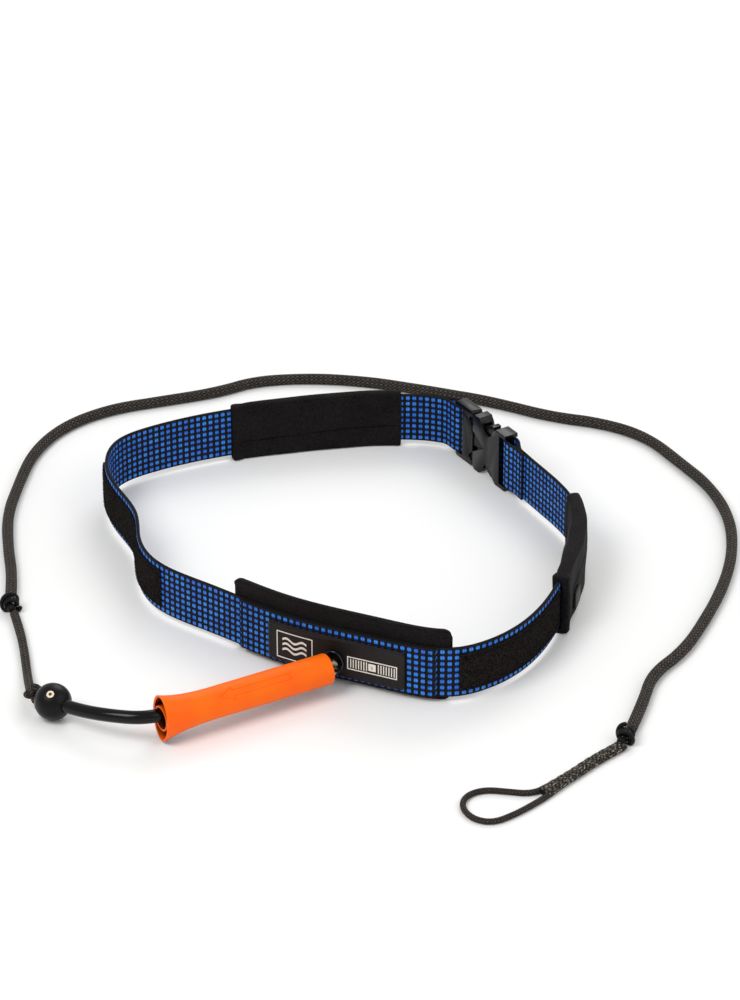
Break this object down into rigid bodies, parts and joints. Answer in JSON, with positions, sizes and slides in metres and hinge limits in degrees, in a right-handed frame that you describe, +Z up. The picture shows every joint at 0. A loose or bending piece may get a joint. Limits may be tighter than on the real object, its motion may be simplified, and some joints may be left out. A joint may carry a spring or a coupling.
{
  "type": "quick-release waist leash belt",
  "caption": "Webbing waist belt on its edge, with side-release buckle, neoprene pad and sleeves, release handle on a hose with stopper ball, and an elastic leash ending in a loop.",
  "frame": {"origin": "centre of the belt and release line's bounding box, on the table the belt stands on", "axes": "+Z up, +X to the wearer's left and +Y away from the front pad, towards the back of the belt"},
  "size_m": [0.5202, 0.5921, 0.055],
  "materials": {
    "webbing_blue": "ribbed blue and black webbing",
    "neoprene_black": "matte laminated neoprene",
    "patch_rubber": "smooth moulded rubber",
    "eyelet_black": "glossy",
    "hook_tape": "dense hook-and-loop pile",
    "buckle_plastic": "moulded acetal, satin to glossy",
    "handle_orange": "satin moulded rubber",
    "stainless": "turned stainless steel",
    "hose_black": "smooth glossy tube",
    "ball_plastic": "satin",
    "loop_cord": "thin high-strength cord",
    "braid_dark": "herringbone braid"
  },
  "bodies": {
    "root": {"belt_webbing": "webbing_blue", "webbing_fold_female": "webbing_blue", "webbing_fold_male": "webbing_blue", "front_webbing_layer": "webbing_blue", "front_pad": "neoprene_black", "front_patch": "patch_rubber", "anchor_eyelet": "eyelet_black", "anchor_loop": "loop_cord", "velcro_left": "hook_tape", "velcro_right": "hook_tape", "back_sleeve": "neoprene_black", "side_sleeve": "neoprene_black", "side_sleeve_tab": "patch_rubber", "buckle_male": "buckle_plastic", "buckle_female": "buckle_plastic", "release_head": "stainless", "hook_pin": "stainless", "hose": "hose_black", "inner_line": "loop_cord", "ball_stopper": "ball_plastic", "ball_set_screw": "stainless", "stopper_knot": "braid_dark", "pigtail_cord": "braid_dark", "leash_cord": "braid_dark", "tail_cord": "braid_dark", "leash_knot_left": "braid_dark", "leash_knot_right": "braid_dark"},
    "release_handle": {"release_handle": "handle_orange"},
    "release_hook": {"release_hook": "stainless"},
    "latch_arm_upper": {"latch_arm_upper": "buckle_plastic"},
    "latch_arm_lower": {"latch_arm_lower": "buckle_plastic"}
  },
  "joints": [
    {"name": "handle_slide", "type": "slide", "parent": "root", "child": "release_handle", "axis": [-0.8712, -0.4909, 0], "range_m": [0, 0.025], "deforming": ["hose", "inner_line"]},
    {"name": "hook_swing", "type": "hinge", "parent": "root", "child": "release_hook", "pos_m": [0.00403, -0.14043, 0.0225], "axis": [0.4909, -0.8712, 0], "range_deg": [0, 80], "deforming": ["anchor_loop"]},
    {"name": "latch_upper", "type": "hinge", "parent": "root", "child": "latch_arm_upper", "pos_m": [0.11581, 0.17017, 0.0382], "axis": [0.8415, 0.5402, 0], "range_deg": [0, 6.5], "stiffness_Nm_per_rad": 0.4},
    {"name": "latch_lower", "type": "hinge", "parent": "root", "child": "latch_arm_lower", "pos_m": [0.11581, 0.17017, 0.0078], "axis": [-0.8415, -0.5402, 0], "range_deg": [0, 6.5], "stiffness_Nm_per_rad": 0.4}
  ],
  "couplings": [
    {"joint": "hook_swing", "follows": "handle_slide", "rad_per_m": 55.85}
  ]
}
